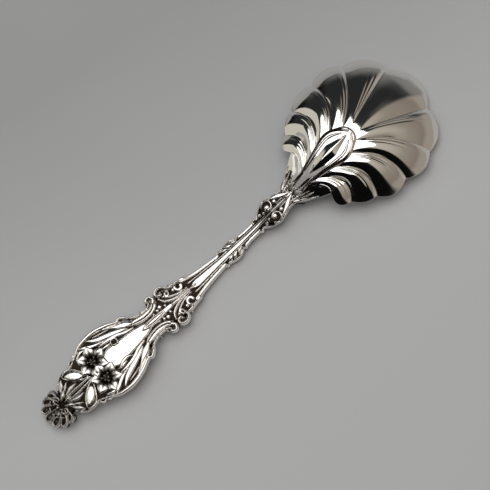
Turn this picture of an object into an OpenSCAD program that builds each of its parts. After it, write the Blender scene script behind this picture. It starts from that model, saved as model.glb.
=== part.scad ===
// Silver dessert serving spoon with a fluted shell bowl and a flower handle.
// It lies as it is photographed, with the back of the bowl and the ornament up.
// x runs along the spoon to the tip of the bowl, z is up, and the table is z = 0.

/* [Overall] */
// Length from the end of the handle to the tip of the bowl
overall_length = 233.5; // [224:0.5:255]

/* [Bowl] */
// Length of the bowl from its heel to its tip
bowl_length = 82; // [74:1:90]
// Width of the bowl across its widest lobes
bowl_width = 67; // [60:1:76]
// Height of the back of the bowl above the table
bowl_height = 18.3; // [15:0.1:22]
// Thickness of the bowl wall
bowl_wall = 1.3; // [1:0.1:1.8]
// Depth of the creases between the lobes
flute_depth = 1.9; // [0.8:0.1:2.4]

/* [Handle] */
// Length of the ornamented broad part, from the fan of lobes to the stem
blade_length = 84; // [76:1:92]
// Width of the broad part
blade_width = 30; // [26:0.5:34]
// Thickness of the broad part without its relief
blade_thickness = 2.6; // [2.4:0.1:3.4]
// Height of the broad part above the table, at the middle of its thickness
blade_height = 7.2; // [5.5:0.1:9]
// Width of the stem at its narrowest
stem_width = 5.4; // [4.6:0.1:7]
// Thickness of the stem
stem_thickness = 4.4; // [3.4:0.1:5.4]
// Length of the ornamented neck behind the bowl
neck_length = 24; // [20:1:28]
// Width of the neck at its scrolls
neck_width = 13; // [11:0.5:15]
// Distance of the middle of the leaf knop behind the bowl
knop_distance = 37.5; // [34:0.5:42]

/* [Ornament] */
// Height of the relief above the handle
relief = 0.9; // [0.5:0.1:1.3]
// Length of a blossom petal from the middle of the flower
petal_length = 6.6; // [5.6:0.1:7]
// Distance between the middles of the two blossoms
blossom_spacing = 9.6; // [8.6:0.1:10.6]
// Radius of the fan of lobes at the end of the handle
palmette_radius = 12.5; // [11:0.1:13.5]
// Distance that the fan reaches past the broad part
fan_overhang = 3.5; // [2:0.5:5]

/* [Fit] */
// Gap filled by solder where two pieces meet
solder_gap = 0.05; // [0.02:0.01:0.1]

/* [Hidden] */
silver = [0.86, 0.85, 0.82];

// Sheets on which the outlines are drawn: length, then full width. The stem's has its lengths before and
// after the knop.
bowl_sheet = [82, 67];
blade_sheet = [84, 30];
neck_sheet = [24, 13];
stem_sheet_width = 5.4;
stem_sheet = [26.5, 13.5];

end_x = -overall_length / 2;
tip_x = overall_length / 2;
heel_x = tip_x - bowl_length;
blade_x = end_x + fan_overhang;
stem_x = blade_x + blade_length;
neck_x = heel_x - neck_length;
knop_x = heel_x - knop_distance;

// Curves through a few points
function clamp(t) = min(1, max(0, t));
function lerp(a, b, t) = a + (b - a) * t;
function smooth_step(a, b, t) = let (s = clamp((t - a) / (b - a))) s * s * (3 - 2 * s);
function span(list, x, i = 0) = (i >= len(list) - 2 || x < list[i + 1].x) ? i : span(list, x, i + 1);
function slope(list, i) =
    let (a = list[max(0, i - 1)], b = list[min(len(list) - 1, i + 1)])
    (b.y - a.y) / (b.x - a.x);
function curve(list, x) =
    let (
        i = span(list, x),
        a = list[i],
        b = list[i + 1],
        h = b.x - a.x,
        t = clamp((x - a.x) / h),
        t2 = t * t,
        t3 = t2 * t
    )
    (2 * t3 - 3 * t2 + 1) * a.y + (t3 - 2 * t2 + t) * h * slope(list, i)
    + (3 * t2 - 2 * t3) * b.y + (t3 - t2) * h * slope(list, i + 1);
function through(points, s) =
    let (
        last = len(points) - 1,
        i = min(last - 1, floor(s)),
        t = s - i,
        p0 = points[max(0, i - 1)],
        p1 = points[i],
        p2 = points[i + 1],
        p3 = points[min(last, i + 2)]
    )
    0.5 * (2 * p1 + (p2 - p0) * t + (2 * p0 - 5 * p1 + 4 * p2 - p3) * t * t
    + (3 * p1 - p0 - 3 * p2 + p3) * t * t * t);
function bend(a, b, c, t) = lerp(lerp(a, b, t), lerp(b, c, t), t);

// Places on the sheets: distance along, then distance from the axis
function on_bowl(p) =
    [heel_x + p.x * bowl_length / bowl_sheet.x, p.y * bowl_width / bowl_sheet.y];
function on_blade(p) =
    [blade_x + p.x * blade_length / blade_sheet.x, p.y * blade_width / blade_sheet.y];
function on_neck(p) =
    [heel_x - p.x * neck_length / neck_sheet.x, p.y * neck_width / neck_sheet.y];
function on_knop(p) = [knop_x + p.x, p.y * stem_width / stem_sheet_width];
function on_stem(p) =
    let (stretch = p.x < 0 ? (knop_x - stem_x) / stem_sheet.x : (neck_x - knop_x) / stem_sheet.y)
    on_knop([p.x * stretch, p.y]);
function placed_bowl(list) = [for (p = list) on_bowl(p)];
function placed_blade(list) = [for (p = list) on_blade(p)];
function placed_neck(list) = [for (p = list) on_neck(p)];
function placed_knop(list) = [for (p = list) on_knop(p)];
function placed_stem(list) = [for (p = list) on_stem(p)];
function mirrored(list, side) = [for (p = list) [p.x, p.y * side]];

// Back of the bowl: a ridge along the axis, a rim, and a dome between them
ridge_share = [
    [0, 0.52], [7, 0.63], [13, 0.74], [20, 0.87], [27, 0.95], [36, 1],
    [47, 0.965], [59, 0.81], [71, 0.5], [79, 0.2], [82, 0.05]
];
rim_share = [
    [0, 0.48], [7, 0.53], [13, 0.6], [17, 0.62], [27, 0.55],
    [43, 0.44], [61, 0.29], [74, 0.14], [82, 0.04]
];
spread = [
    [0, 5.4], [7, 11], [12, 19], [17, 23.5], [28, 29.5], [43, 32.5],
    [52, 33], [60, 30.8], [71, 24.5], [79, 12.5], [82, 4]
];
dome_power = 3.6;
function dome(x, y) =
    let (
        a = (x - heel_x) * bowl_sheet.x / bowl_length,
        b = abs(y) * bowl_sheet.y / bowl_width,
        top = curve(ridge_share, a)
    )
    bowl_height * (top - (top - curve(rim_share, a)) * pow(b / curve(spread, a), dome_power));
function dome_normal(x, y, e = 0.1) =
    let (n = [
        (dome(x - e, y) - dome(x + e, y)) / (2 * e),
        (dome(x, y - e) - dome(x, y + e)) / (2 * e),
        1
    ])
    n / norm(n);

// Each lobe lies between two creases. A crease leaves the axis at its start, bends, and ends in a notch
// of the rim. The lists run from the tip of the bowl to its heel.
notches = [[74, 13.7], [59.8, 29.3], [42.5, 31], [27.3, 28], [17.3, 21.9], [12.8, 13.3], [0, 5.4]];
starts = [[35, 0], [29, 0], [21, 0], [13, 0], [6.5, 0], [3, 0], [0, 0]];
bends = [[57, 8], [51, 10], [45, 14], [35, 13.5], [27, 12], [16, 8], [0, 2.7]];
bulges = [4.6, 3.4, 3.3, 1.8, 3.5, 0.4];
tip_start = [39, 0];
tip_bend = [60.5, 0];
tip_end = [82, 0];
last_crease = 5;

function lobe_edge(a, b, bulge, s) =
    let (d = (b - a) / norm(b - a))
    lerp(a, b, s) + [d.y, -d.x] * 4 * bulge * s * (1 - s);
// The share of a lobe's way from the tip (t = 0) to the heel (t = 6.5), and of its way to the rim (v)
function spoke(t, v) =
    t <= 0.5
    ? let (
        s = t / 0.5,
        rim = [tip_end.x - (tip_end.x - notches[0].x) * s * s, notches[0].y * s]
    )
    bend(lerp(tip_start, starts[0], s), lerp(tip_bend, bends[0], s), rim, v)
    : let (
        k = min(len(bulges) - 1, floor(t - 0.5)),
        s = t - 0.5 - k,
        rim = lobe_edge(notches[k], notches[k + 1], bulges[k], s)
    )
    bend(lerp(starts[k], starts[k + 1], s), lerp(bends[k], bends[k + 1], s), rim, v);
flute_from = 0.12;
flute_full = 0.6;
function crease(t) =
    t > last_crease + 0.5
    ? 1 - sin(90 * (t - last_crease - 0.5))
    : 1 - abs(sin(180 * (t - 0.5)));
function flute(t, v) = flute_depth * crease(t) * smooth_step(flute_from, flute_full, v);

// Spokes of each lobe, from the half lobe at the tip to the heel
lobe_steps = [5, 8, 8, 8, 8, 6, 3];
rim_steps = 10;
spoke_places = [
    for (k = [0:len(lobe_steps) - 1]) for (j = [1:lobe_steps[k]])
        k == 0 ? 0.5 * j / lobe_steps[k] : k - 0.5 + j / lobe_steps[k]
];
spokes = len(spoke_places);

// A point of the bowl wall: depth 0 is the back, depth bowl_wall is the inside
function bowl_point(s, i, depth) =
    let (
        t = s == 0 ? 0 : spoke_places[abs(s) - 1],
        v = i / rim_steps,
        p = on_bowl(spoke(t, v)),
        y = p.y * (s < 0 ? -1 : 1),
        q = [p.x, y, dome(p.x, y) - flute(t, v)] - dome_normal(p.x, y) * depth
    )
    [q.x, q.y, max(0, q.z)];

// The wall as one closed solid, thicker all round by grow
module bowl_wall_solid(grow = 0) {
    // Axis points come first, then the rows of spokes from left to right
    sides = [for (s = [-spokes:spokes]) s];
    axis = spokes + 1;
    row = 2 * spokes + 1;
    sheet = axis + row * rim_steps;
    function at(s, i, inside) =
        inside * sheet + (i == 0 ? abs(s) : axis + (i - 1) * row + s + spokes);
    depths = [-grow, bowl_wall + grow];
    points = [
        for (depth = depths) each concat(
            [for (s = [0:spokes]) bowl_point(s, 0, depth)],
            [for (i = [1:rim_steps]) for (s = sides) bowl_point(s, i, depth)]
        )
    ];
    faces = [
        for (s = [-spokes:spokes - 1]) for (i = [0:rim_steps - 1]) for (inside = [0, 1])
            let (
                a = at(s, i, inside),
                b = at(s + 1, i, inside),
                c = at(s + 1, i + 1, inside),
                d = at(s, i + 1, inside)
            )
            each inside == 0 ? [[a, b, c], [a, c, d]] : [[a, c, b], [a, d, c]],
        for (s = [-spokes:spokes - 1])
            let (
                a = at(s, rim_steps, 0),
                b = at(s + 1, rim_steps, 0),
                c = at(s + 1, rim_steps, 1),
                d = at(s, rim_steps, 1)
            )
            each [[a, b, c], [a, c, d]],
        for (i = [0:rim_steps - 1]) for (side = [-1, 1])
            let (
                a = at(side * spokes, i, 0),
                b = at(side * spokes, i + 1, 0),
                c = at(side * spokes, i + 1, 1),
                d = at(side * spokes, i, 1)
            )
            each side > 0 ? [[a, c, b], [a, d, c]] : [[a, b, c], [a, c, d]]
    ];
    polyhedron(points, faces);
}

// Handle: half-width, height of the middle and half-thickness along its length
blade_plan = [
    [3, 2.5], [6, 4.2], [9.5, 6.4], [12, 8], [16, 10.3], [21, 10.3], [25, 11.6],
    [30, 13.6], [35, 14.3], [41, 13.6], [47, 11.2], [52, 9.2], [56, 6.4],
    [61, 5], [66, 6.6], [69, 6.4], [73, 8.4], [77, 7.1], [81, 6.8], [84, 6.3]
];
stem_plan = [[-20, 4.4], [-10, 3.3], [-6, 3.2], [0, 3.9], [6, 3], [12, 2.7]];
neck_plan = [
    [20, 2.8], [16, 4.5], [12.3, 6], [8.5, 5.3], [4.5, 4.4], [1.5, 4.5], [-1.5, 5.2], [-4, 6]
];
plan = concat(placed_blade(blade_plan), placed_stem(stem_plan), placed_neck(neck_plan));
function half_width(x) = curve(plan, x);

tongue_x = heel_x + 3;
neck_end_x = heel_x - 4;
neck_top = dome(tongue_x, 0);
neck_thickness = 3.6;
lap = 0.5;
tongue_thickness = bowl_wall + 2 * lap;
stem_middle = stem_thickness / 2;
rest_x = stem_x + 8;
spine = [
    [blade_x, 0.74 * blade_height],
    [blade_x + 0.2 * blade_length, 0.97 * blade_height],
    [blade_x + 0.42 * blade_length, 1.05 * blade_height],
    [blade_x + 0.62 * blade_length, 0.93 * blade_height],
    [blade_x + 0.82 * blade_length, 0.66 * blade_height],
    [stem_x, 1.3 * stem_middle],
    [rest_x, 0.95 * stem_middle],
    [knop_x, 1.02 * stem_middle],
    [neck_x, 1.6 * stem_middle],
    [neck_x + 0.5 * neck_length, 0.62 * neck_top],
    [neck_end_x, 0.79 * neck_top],
    [tongue_x, neck_top - bowl_wall / 2]
];
body = [
    [blade_x, 0.15 * blade_thickness],
    [blade_x + 0.15 * blade_length, blade_thickness / 2],
    [blade_x + 0.7 * blade_length, blade_thickness / 2],
    [stem_x, 0.46 * stem_thickness],
    [rest_x, stem_thickness / 2],
    [knop_x, stem_thickness / 2],
    [neck_x, 0.48 * stem_thickness],
    [neck_end_x, neck_thickness / 2],
    [tongue_x, tongue_thickness / 2]
];
section_power = 3;
function handle_top(x, y) =
    let (r = min(1, abs(y) / half_width(x)))
    curve(spine, x) + curve(body, x) * pow(1 - pow(r, section_power), 1 / section_power);
function skin(x, y) =
    x < heel_x ? handle_top(x, y) : x < tongue_x ? max(handle_top(x, y), dome(x, y)) : dome(x, y);

// A closed solid through rings that all have as many points
module loft(rings) {
    n = len(rings[0]);
    last = len(rings) - 1;
    points = [for (ring = rings) each ring];
    faces = concat(
        [[for (k = [0:n - 1]) k]],
        [
            for (i = [0:last - 1]) for (k = [0:n - 1])
                let (
                    a = i * n + k,
                    b = i * n + (k + 1) % n,
                    c = b + n,
                    d = a + n
                )
                each [[a, c, b], [a, d, c]]
        ],
        [[for (k = [n - 1:-1:0]) last * n + k]]
    );
    polyhedron(points, faces);
}

// The plain body of the handle, lofted through rounded sections and flat where it rests on the table
body_x = on_blade(blade_plan[0]).x;
section_sides = 10;
station_step = 3;
module handle_body() {
    xs = concat([for (x = [body_x:station_step:tongue_x - station_step / 2]) x], [tongue_x]);
    e = 2 / section_power;
    function ring_point(x, a) =
        let (
            y = half_width(x) * sign(cos(a)) * pow(abs(cos(a)), e),
            z = curve(spine, x) + curve(body, x) * sign(sin(a)) * pow(abs(sin(a)), e)
        )
        [x, y, max(0, z)];
    loft([
        for (x = xs)
            [for (k = [0:section_sides - 1]) ring_point(x, 360 * k / section_sides)]
    ]);
}

// A raised band along a path, with its half-widths from start to end and the share of them that is flat on
// top. A rim band stands on the middle of the handle's thickness and reaches through it, and the others lie
// on its surface.
sink = 1;
rim_crest = 0.5;
rim_reach = 0.8;
module band(path, widths, rise = relief, rim = false, crest = 0) {
    share = rim ? rim_crest : crest;
    steps = len(path) > 3 ? 1 : 2;
    count = (len(path) - 1) * steps;
    pts = [for (i = [0:count]) through(path, i / steps)];
    loft([
        for (i = [0:count])
            let (
                p = pts[i],
                d = pts[min(count, i + 1)] - pts[max(0, i - 1)],
                n = [-d.y, d.x] / norm(d),
                w = through(widths, i / count * (len(widths) - 1)),
                z = rim ? curve(spine, p.x) : skin(p.x, p.y),
                top = z + rise + (rim ? curve(body, p.x) : 0),
                foot = max(0, z - (rim ? rim_reach * curve(body, p.x) : sink)),
                l = p + n * w,
                r = p - n * w,
                lc = p + n * w * share,
                rc = p - n * w * share
            )
            share > 0
            ? [[r.x, r.y, foot], [l.x, l.y, foot], [lc.x, lc.y, top], [rc.x, rc.y, top]]
            : [[r.x, r.y, foot], [l.x, l.y, foot], [p.x, p.y, top]]
    ]);
}
module band_pair(path, widths, rise = relief, rim = false) {
    for (side = [-1, 1])
        band(mirrored(path, side), widths, rise, rim);
}

// A long bead from p to q on the surface, on both sides of the axis
bead_sides = 5;
module bead_pair(p, q, r) {
    for (side = [-1, 1])
        hull()
            for (c = [p, q])
                translate([c.x, c.y * side, skin(c.x, c.y)])
                    sphere(r, $fn = bead_sides);
}

// Points of a scroll that winds in from radius r to a third of it
function scroll(c, r, from, turn, steps = 7) =
    [for (i = [0:steps])
        let (a = from + turn * i / steps)
        c + r * (1 - 0.67 * i / steps) * [cos(a), sin(a)]];

// Broad part: rim, leaves under the blossoms, side sprays and plain panel
module blade_ornament() {
    rim_line = [[24, 11], [30, 13.9], [35, 14.6], [41, 13.8], [47, 11.6], [51, 10.2]];
    leaf_line = [[10, 6], [13, 9], [17, 10.3], [21, 10.2], [24, 10.9]];
    band_pair(placed_blade(rim_line), [0.5, 0.9, 0.9, 0.9, 0.8], 0.2, rim = true);
    band_pair(placed_blade(leaf_line), [0.5, 0.8, 0.6], 0.1, rim = true);
    band_pair(placed_blade([[23, 3.4], [19, 5.4], [15, 8.4]]), [0.5, 2.3, 0.4], 1.1);
    band_pair(placed_blade([[12, 1], [24, 0.7]]), [0.5, 0.4]);
    band_pair(placed_blade([[50, 7.8], [44, 11.6], [38, 12.9], [32.5, 12.6]]), [0.5, 0.9, 0.7, 0.2]);
    band_pair(placed_blade([[49, 6.4], [43, 9.4], [37, 10.9], [33, 12.3]]), [0.5, 0.8, 0.7, 0.2]);
    band_pair(placed_blade([[50, 5.2], [44, 7.4], [38, 8.8], [35, 9]]), [0.5, 0.9, 0.8, 0.2]);
    band(placed_blade([[37, 0], [40, 0], [46, 0], [52, 0], [57, 0]]), [2.6, 4.2, 3.6, 3.2, 1.6], 0.5);
    bead_pair(on_blade([22, 11.2]), on_blade([21, 11.6]), 0.7);
    bead_pair(on_blade([25, 12.2]), on_blade([24.6, 12.6]), 0.7);
}

// Shoulder: paired scrolls that clasp a long bud on the axis
module shoulder_ornament() {
    long_scroll = [[51.5, 10.8], [53.5, 8.7], [57, 5.9], [62, 4.7], [66, 6.2], [67.8, 8.6]];
    short_scroll = [[72, 9], [75, 9.2], [77.5, 7.4], [80, 6.9], [83, 6.6]];
    band_pair(placed_blade(long_scroll), [0.9, 1.2, 1.2, 1.2, 1.1, 0.8], 0.2, rim = true);
    band_pair(placed_blade(short_scroll), [0.8, 0.8, 0.7, 0.6], 0.2, rim = true);
    band_pair(placed_blade([[48, 8], [52, 5.2], [57, 3.3], [62, 3.3], [66, 5]]), [0.5, 0.6, 0.6, 0.4]);
    band_pair(placed_blade([[70.2, 5.3], [72, 3.2], [75, 1.8], [80, 1.2], [84, 1]]), [0.4, 0.7, 0.6, 0.3]);
    band_pair(placed_blade([[72, 6.3], [76, 4.6], [80, 3.4]]), [0.3, 0.8, 0.2]);
    band(placed_blade([[56.5, 0], [61, 0], [68, 0], [75, 0]]), [0.3, 1.5, 1.1, 0.7], 1.2);
    band(placed_blade([[75, 0], [87, 0]]), [0.4, 0.4]);
    band_pair(placed_blade(scroll([82, 4.3], 2.1, 60, 300)), [0.7, 0.6, 0.5]);
    bead_pair(on_blade([51.6, 10.6]), on_blade([51.2, 11]), 1.3);
    bead_pair(on_blade([67.8, 8.7]), on_blade([67.4, 9]), 1.2);
    bead_pair(on_blade([72.3, 8.8]), on_blade([73, 9.2]), 1.3);
    bead_pair(on_blade([77.6, 7.6]), on_blade([77.8, 7.9]), 0.7);
}

// Stem: rails along its edges and a narrow panel between two lines
rail_inset = 0.3;
module stem_ornament() {
    function along_edge(xs) = [for (x = xs) [x, half_width(x) - rail_inset]];
    rail = along_edge([stem_x - 1, lerp(stem_x, knop_x, 0.3), lerp(stem_x, knop_x, 0.5), knop_x - 6.5]);
    upper_rail = along_edge([knop_x + 6, lerp(knop_x + 6, neck_x + 2, 0.5), neck_x + 2]);
    band_pair(rail, [0.8, 0.7, 0.6, 0.5], 0, rim = true);
    band_pair(upper_rail, [0.5, 0.5], 0, rim = true);
    panel_line = [[stem_x + 2, 2.3], [stem_x + 10, 1.9], [knop_x, 1.2], [neck_x + 8, 0.7]];
    band_pair(panel_line, [0.3, 0.3, 0.3], 0.4);
    band_pair(placed_knop([[-5.4, 3.2], [0, 4], [4.4, 3.2]]), [0.4, 0.8, 0.4], 0.1, rim = true);
    band_pair(placed_knop([[-4.6, 2.7], [-2.6, 2.4], [-0.6, 1.5]]), [0.3, 0.8, 0.2]);
    band_pair(placed_knop([[-0.6, 3.4], [1.6, 2.8], [3.6, 1.6]]), [0.3, 0.8, 0.2]);
    bead_pair(on_knop([-5.9, 3.1]), on_knop([-5.6, 3.5]), 0.8);
    bead_pair(on_knop([5.6, 2.8]), on_knop([5.9, 3.1]), 0.8);
}

// Neck: scrolls, beads and leaves that run out over the heel of the bowl
module neck_ornament() {
    edge = [[18.5, 3], [15.5, 5], [12.3, 6.1], [9, 5.4], [5.5, 4.5], [2, 4.5], [-1.5, 5.6]];
    band_pair(placed_neck(edge), [0.4, 0.6, 0.7, 0.6, 0.6, 0.5, 0.4], 0, rim = true);
    band_pair(placed_neck(scroll([12.4, 3.9], 2.2, 190, -330)), [0.6, 0.5, 0.5]);
    band_pair(placed_neck([[7.8, 4], [5.2, 1.9], [2, 0.5]]), [0.5, 0.9, 0.3]);
    band_pair(placed_bowl([[-4, 2.2], [1.5, 3.8], [5.6, 5]]), [0.6, 0.9, 0.2]);
    band_pair(placed_bowl([[-4, 2.4], [1.8, 5], [6.4, 7.4]]), [0.6, 0.9, 0.2]);
    band_pair(placed_bowl([[-4, 2.6], [2.2, 6], [7, 10.2]]), [0.6, 0.9, 0.2]);
    bead_pair(on_neck([21.4, 2.6]), on_neck([21, 2.9]), 0.8);
    bead_pair(on_neck([14.6, 2.2]), on_neck([14.2, 2.3]), 1);
    bead_pair(on_neck([8.7, 2.5]), on_neck([8.5, 2.6]), 1);
}

// A leaf-shaped tongue laps the back of the bowl, with a raised spindle along its middle
tongue_crest = 0.9;
module tongue() {
    leaf = placed_bowl([[-2, 0], [9, 0], [17, 0], [24, 0], [28.5, 0], [33, 0], [38, 0]]);
    band(leaf, [4.4, 4.8, 6, 7.6, 8.3, 6.4, 0.5], 0.55, crest = tongue_crest);
    band(placed_bowl([[11, 0], [18, 0], [25, 0], [34, 0]]), [0.4, 2.4, 3.2, 0.3], 1.3);
}

// Two blossoms of six petals, cast as one spray
blossom_d = 30;
petals = 6;
petal_turn = 12;
cup_radius = 0.38 * petal_length;
cup_height = 1.5;
cup_sink = 0.8;
stamens = 5;
stamen_ring = 0.8;
stamen_height = 1.9;
ball_sides = 7;
module blossom_solid(grow = 0) {
    for (side = [-1, 1]) {
        p = on_blade([blossom_d, 0]) + [0, side * blossom_spacing / 2];
        translate([p.x, p.y, handle_top(p.x, p.y)]) {
            translate([0, 0, -cup_sink - grow])
                cylinder(r = cup_radius + grow, h = cup_height + 2 * grow, $fn = 13);
            for (k = [0:petals - 1])
                rotate([0, 0, side * petal_turn + 360 * k / petals])
                    petal(grow);
            for (k = [0:stamens - 1])
                rotate([0, 0, 360 * k / stamens])
                    translate([stamen_ring, 0, 0])
                        cylinder(r1 = 0.3 + grow, r2 = 0.5 + grow, h = stamen_height + grow, $fn = 5);
        }
    }
}
module petal(grow) {
    broad = 0.3 * petal_length;
    hull() {
        translate([0.3 * petal_length, 0, 0.3])
            sphere(0.5 + grow, $fn = ball_sides);
        translate([petal_length - broad, 0, 1])
            scale([1, 1, 0.4])
                sphere(broad + grow, $fn = ball_sides);
    }
}

// A fan of ribbed lobes closes the end of the handle. Its rings stand upright, one after another.
lobes = 7;
lobe_angle = 22;
lobe_cuts = 6;
lobe_rows = 6;
lobe_rise = 2.6;
lobe_base = 1.7;
lobe_fall = 1.2;
lobe_valley = 0.45;
lobe_notch = 0.17;
fan_root = 1.8;
fan_narrow = 0.28;
fan_half = lobes * lobe_angle / 2;
palmette_x = end_x + palmette_radius;
function fan_ring(a, grow) =
    let (
        rib = abs(cos(180 * a / lobe_angle)),
        narrow = 1 - fan_narrow * pow(a / fan_half, 2),
        reach = palmette_radius * narrow * (1 - lobe_notch * (1 - rib)) + grow,
        rise = lobe_rise * (lobe_valley + (1 - lobe_valley) * rib),
        rows = [for (i = [0:lobe_rows]) i / lobe_rows],
        top = [for (u = rows) [u, rise * sqrt(1 - pow(u, 4)) + grow]],
        base = [for (u = [1, 0.5, 0]) [u, -lobe_base * sqrt(1.1 - u) - grow]]
    )
    [
        for (p = concat(top, base))
            let (r = lerp(fan_root - grow, reach, p.x))
            [r * cos(a), r * sin(a), p.y - lobe_fall * p.x * p.x]
    ];
module palmette_solid(grow = 0) {
    half = fan_half + grow;
    cuts = lobes * lobe_cuts;
    translate([palmette_x, 0, curve(spine, palmette_x)])
        rotate([0, 0, 180])
            loft([for (k = [0:cuts]) fan_ring(lerp(-half, half, k / cuts), grow)]);
}

module bowl() {
    color(silver) bowl_wall_solid();
}

module handle() {
    color(silver)
        difference() {
            union() {
                handle_body();
                blade_ornament();
                shoulder_ornament();
                stem_ornament();
                neck_ornament();
                tongue();
            }
            bowl_wall_solid(solder_gap);
            blossom_solid(solder_gap);
            palmette_solid(solder_gap);
        }
}

module blossom_pair() {
    color(silver) blossom_solid();
}

module end_palmette() {
    color(silver) palmette_solid();
}

bowl();
handle();
blossom_pair();
end_palmette();
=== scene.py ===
"""Looks of a silver dessert serving spoon that lies with the back of its bowl up.

Lengths of the spoon and the camera are in millimetres, and those of the table and the lights in
metres. The x axis runs along the spoon to the tip of the bowl, z is up and the table is z = 0.
"""
import math

import bpy
import numpy as np
from mathutils import Matrix, Vector


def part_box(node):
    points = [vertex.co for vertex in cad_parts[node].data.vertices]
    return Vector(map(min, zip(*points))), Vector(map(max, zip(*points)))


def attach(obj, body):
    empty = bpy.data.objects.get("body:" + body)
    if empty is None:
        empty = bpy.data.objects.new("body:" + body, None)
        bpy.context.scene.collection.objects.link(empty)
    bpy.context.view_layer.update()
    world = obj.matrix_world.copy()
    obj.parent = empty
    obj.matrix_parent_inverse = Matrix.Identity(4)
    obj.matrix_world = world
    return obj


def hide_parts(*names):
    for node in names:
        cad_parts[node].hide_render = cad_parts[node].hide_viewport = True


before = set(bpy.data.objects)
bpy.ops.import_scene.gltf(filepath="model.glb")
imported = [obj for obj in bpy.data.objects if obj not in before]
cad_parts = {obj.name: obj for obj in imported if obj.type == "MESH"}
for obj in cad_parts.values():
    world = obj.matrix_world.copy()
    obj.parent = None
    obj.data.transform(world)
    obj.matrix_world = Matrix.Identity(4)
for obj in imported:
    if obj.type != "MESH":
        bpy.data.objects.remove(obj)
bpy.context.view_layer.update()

MM = 0.001

# The lists measure x from a datum 33 mm behind the heel of the bowl
HEEL_X = 33
DATUM_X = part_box("bowl")[0].x / MM - HEEL_X
END_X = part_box("end_palmette")[0].x / MM - DATUM_X


# Curves
SCROLL_POINTS = 9


def smooth_step(a, b, t):
    """From 0 where t is a to 1 where it is b, with soft ends."""
    s = np.clip((t - a) / (b - a), 0, 1)
    return s * s * (3 - 2 * s)


def lerp(a, b, t):
    """What lies a share t of the way from a to b."""
    return a + (b - a) * t


def curve(points, x):
    """Smooth height at x of a curve through (x, height) points."""
    px, py = np.array(points, float).T
    slope = np.gradient(py, px)
    slope[1:-1] = (py[2:] - py[:-2]) / (px[2:] - px[:-2])
    i = np.clip(np.searchsorted(px, x, side="right") - 1, 0, len(px) - 2)
    h = px[i + 1] - px[i]
    t = np.clip((x - px[i]) / h, 0, 1)
    rest = (t**3 - 2 * t**2 + t) * slope[i] + (t**3 - t**2) * slope[i + 1]
    return lerp(py[i], py[i + 1], 3 * t**2 - 2 * t**3) + h * rest


def spline(points, count):
    """Points along a smooth curve through the given points."""
    p = np.array(points, float)
    p = np.vstack([2 * p[0] - p[1], p, 2 * p[-1] - p[-2]])
    s = np.linspace(0, len(p) - 3, count)
    i = np.minimum(s.astype(int), len(p) - 4)
    t = (s - i)[:, None]
    a, b, c, d = p[i], p[i + 1], p[i + 2], p[i + 3]
    square = 2 * a - 5 * b + 4 * c - d
    cube = 3 * b - a - 3 * c + d
    return 0.5 * (2 * b + (c - a) * t + square * t**2 + cube * t**3)


def scroll(centre, radius, start, turn, tail=0.35):
    """Points of a scroll that winds in from radius to a share of it, with angles in degrees."""
    s = np.linspace(0, 1, SCROLL_POINTS)
    angle = np.radians(start + turn * s)
    r = radius * (1 - (1 - tail) * s)
    return np.stack([centre[0] + r * np.cos(angle), centre[1] + r * np.sin(angle)], 1)


def round_over(depth):
    """Share of the full height at a share of the depth of a rounded edge."""
    return np.sqrt(1 - (1 - depth) ** 2)


def blurred(field, cells):
    """The field seen through a soft spot of that many cells."""
    fx = np.fft.fftfreq(field.shape[0])[:, None]
    fy = np.fft.rfftfreq(field.shape[1])[None, :]
    spot = np.exp(-2 * (math.pi * cells) ** 2 * (fx**2 + fy**2))
    return np.fft.irfft2(np.fft.rfft2(field) * spot, s=field.shape)


# Meshes
def make_piece(name, points, faces, layers, material, node):
    """A piece that stands for a CAD node and rides with the spoon.

    Its layers are named values at its points.
    """
    mesh = bpy.data.meshes.new(name)
    mesh.from_pydata(((np.asarray(points) + (DATUM_X, 0, 0)) * MM).tolist(), [], faces)
    mesh.validate()
    mesh.shade_smooth()
    for title, values in layers.items():
        layer = mesh.attributes.new(title, "FLOAT", "POINT")
        layer.data.foreach_set("value", np.asarray(values, np.float32))
    mesh.materials.append(material)
    piece = bpy.data.objects.new(name, mesh)
    bpy.context.scene.collection.objects.link(piece)
    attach(piece, "root")
    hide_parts(node)


class Solids:
    """Closed forms gathered into one mesh."""

    # A direction that no rod runs along
    SIDEWAYS = (0.31, 0.95, 0.05)

    def __init__(self):
        self.points = []
        self.faces = []
        self.oxide = []
        self.count = 0

    def loft(self, rings, oxide):
        """A form through rings of points, closed at both ends."""
        rings = np.asarray(rings)
        rows, size = rings.shape[:2]
        first = self.count
        self.points.append(rings.reshape(-1, 3))
        self.oxide.append(np.broadcast_to(oxide, (rows, size)).reshape(-1))
        self.count += rows * size
        for i in range(rows - 1):
            for k in range(size):
                a = first + i * size + k
                b = first + i * size + (k + 1) % size
                self.faces.append((a, b, b + size, a + size))
        self.faces.append(tuple(range(first + size - 1, first - 1, -1)))
        self.faces.append(tuple(range(self.count - size, self.count)))

    def tube(self, path, radii, sides, oxide):
        """A round rod along a path."""
        path = np.asarray(path, float)
        along = np.gradient(path, axis=0)
        along /= np.linalg.norm(along, axis=1)[:, None]
        across = np.cross(along, self.SIDEWAYS)
        across /= np.linalg.norm(across, axis=1)[:, None]
        other = np.cross(along, across)
        a = np.linspace(0, 2 * math.pi, sides, endpoint=False)[None, :, None]
        ring = across[:, None] * np.cos(a) + other[:, None] * np.sin(a)
        self.loft(path[:, None] + ring * np.asarray(radii, float)[:, None, None], oxide)

    def piece(self, name, material, node, slot):
        points = np.concatenate(self.points)
        layers = {"oxide": np.concatenate(self.oxide)}
        make_piece(name, points, self.faces, layers, material, node)


# Bowl: the dome and the creases that run from its axis to the notches of its rim
BOWL_LENGTH = 82
BOWL_HEIGHT = 18.3
BOWL_WALL = 1.3
LIP_SWELL = BOWL_WALL / 4
DOME_POWER = 3.6

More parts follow.
